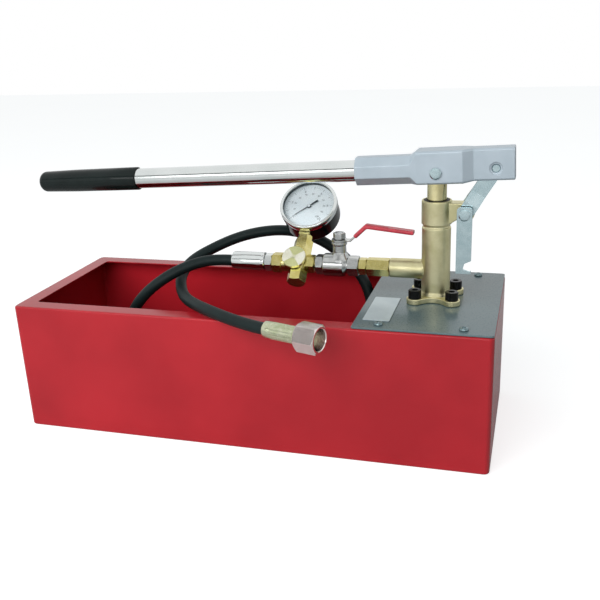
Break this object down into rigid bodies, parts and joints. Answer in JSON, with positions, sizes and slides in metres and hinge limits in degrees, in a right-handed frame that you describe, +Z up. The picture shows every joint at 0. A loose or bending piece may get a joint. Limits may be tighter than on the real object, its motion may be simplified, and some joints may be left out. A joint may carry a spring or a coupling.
{
  "type": "hand pressure test pump",
  "caption": "Hand-levered piston pump on an open steel water tank, with ball valve, release valve, pressure gauge and flexible test hose for filling and pressing pipework.",
  "frame": {"origin": "centre of the tank's flat underside", "axes": "+Z up out of the tank, +X along the tank towards the pump end, +Y away from the side that the gauge faces"},
  "size_m": [0.5141, 0.2481, 0.2976],
  "materials": {
    "red_enamel": "glossy red enamel on sheet steel",
    "grey_enamel": "satin grey-blue paint on steel plate",
    "label": "bare thin plate, brushed",
    "zinc": "bright zinc plating",
    "yellow_zinc": "yellow-passivated zinc plating",
    "cast_brass": "dull cast brass",
    "turned_brass": "turned brass",
    "nickel": "nickel plating over forged brass",
    "chrome": "bright chrome plating",
    "steel": "ground steel",
    "black_oxide": "black oxide on alloy steel",
    "black_rubber": "matt black rubber",
    "black_plastic": "black moulded plastic",
    "black_grip": "glossy black vinyl grip",
    "red_vinyl": "dipped red vinyl",
    "painted_casting": "light grey paint on a casting",
    "white_dial": "white dial face",
    "window": "clear gauge window",
    "sealing": "white sealing ring"
  },
  "bodies": {
    "pump": {"tank": "red_enamel", "cover_plate": "grey_enamel", "cover_screw_1": "zinc", "cover_screw_2": "zinc", "cover_screw_3": "zinc", "cover_screw_4": "zinc", "rating_plate": "label", "pump_body": "cast_brass", "wiper_ring": "black_rubber", "plunger_seal": "sealing", "flange_screw_1": "black_oxide", "flange_screw_2": "black_oxide", "flange_screw_3": "black_oxide", "flange_screw_4": "black_oxide", "backing_plate": "zinc", "suction_seat": "turned_brass", "suction_pipe": "turned_brass", "suction_strainer": "black_plastic", "pressure_seat": "turned_brass", "outlet_adapter": "cast_brass", "outlet_locknut": "cast_brass", "valve_body": "nickel", "valve_end": "nickel", "valve_seat_left": "sealing", "valve_seat_right": "sealing", "manifold": "turned_brass", "manifold_plug": "turned_brass", "gauge_socket": "turned_brass", "gauge_case": "black_plastic", "gauge_bezel": "chrome", "gauge_glass": "window", "gauge_dial": "white_dial", "gauge_tube": "turned_brass", "hose_nut": "chrome", "hose_ferrule": "chrome", "hose": "black_rubber", "end_ferrule": "yellow_zinc", "end_nipple": "steel", "pivot_pin": "zinc"},
    "plunger_unit": {"plunger": "turned_brass"},
    "lever": {"lever_casting": "painted_casting", "lever_tube": "chrome", "lever_grip": "black_grip", "plunger_pin": "zinc", "link_pin": "zinc"},
    "link": {"link_front": "zinc", "link_back": "zinc"},
    "hook": {"transport_hook": "zinc"},
    "valve_lever": {"valve_ball": "chrome", "valve_stem": "steel", "stem_nut": "nickel", "valve_handle": "nickel", "handle_sleeve": "red_vinyl"},
    "spindle": {"release_spindle": "steel"},
    "knob": {"release_knob": "turned_brass"},
    "pointer": {"gauge_pointer": "black_plastic"},
    "swivel": {"swivel_nut": "zinc"},
    "suction_check": {"suction_ball": "steel"},
    "pressure_check": {"pressure_ball": "steel", "pressure_spring": "steel"}
  },
  "joints": [
    {"name": "plunger_slide", "type": "slide", "parent": "pump", "child": "plunger_unit", "axis": [0, 0, 1], "range_m": [0, 0.0415]},
    {"name": "lever_swing", "type": "hinge", "parent": "plunger_unit", "child": "lever", "pos_m": [0.185, 0, 0.273], "axis": [0, 1, 0], "range_deg": [0, 40]},
    {"name": "link_swing", "type": "hinge", "parent": "pump", "child": "link", "pos_m": [0.2135, 0, 0.234], "axis": [0, -1, 0], "range_deg": [0, 10]},
    {"name": "hook_swing", "type": "hinge", "parent": "pump", "child": "hook", "pos_m": [0.2135, 0, 0.234], "axis": [0, -1, 0], "range_deg": [-25, 140]},
    {"name": "valve_turn", "type": "hinge", "parent": "pump", "child": "valve_lever", "pos_m": [0.086, 0, 0.1733], "axis": [0, 0, -1], "range_deg": [0, 90]},
    {"name": "spindle_lift", "type": "slide", "parent": "pump", "child": "spindle", "axis": [0, -0.6794, 0.7337], "range_m": [0, 0.001]},
    {"name": "knob_turn", "type": "hinge", "parent": "spindle", "child": "knob", "pos_m": [0.0387, 0, 0.1733], "axis": [0, -0.6794, 0.7337], "range_deg": [0, 360]},
    {"name": "pointer_turn", "type": "hinge", "parent": "pump", "child": "pointer", "pos_m": [0.0422, 0.04916, 0.21882], "axis": [0, 0.6794, -0.7337], "range_deg": [0, 270], "stiffness_Nm_per_rad": 0.002},
    {"name": "swivel_nut_turn", "type": "hinge", "parent": "pump", "child": "swivel", "pos_m": [0.0435, -0.1225, 0.1463], "axis": [0.9563, -0.2924, 0], "continuous": true},
    {"name": "suction_ball_lift", "type": "slide", "parent": "pump", "child": "suction_check", "axis": [0, 0, 1], "range_m": [0, 0.002]},
    {"name": "pressure_ball_lift", "type": "slide", "parent": "pump", "child": "pressure_check", "axis": [-1, 0, 0], "range_m": [0, 0.002], "stiffness_N_per_m": 100}
  ],
  "couplings": [
    {"joint": "plunger_slide", "follows": "lever_swing", "m_per_rad": 0.059},
    {"joint": "link_swing", "follows": "lever_swing", "ratio": 0.245},
    {"joint": "knob_turn", "follows": "spindle_lift", "rad_per_m": 6283}
  ]
}
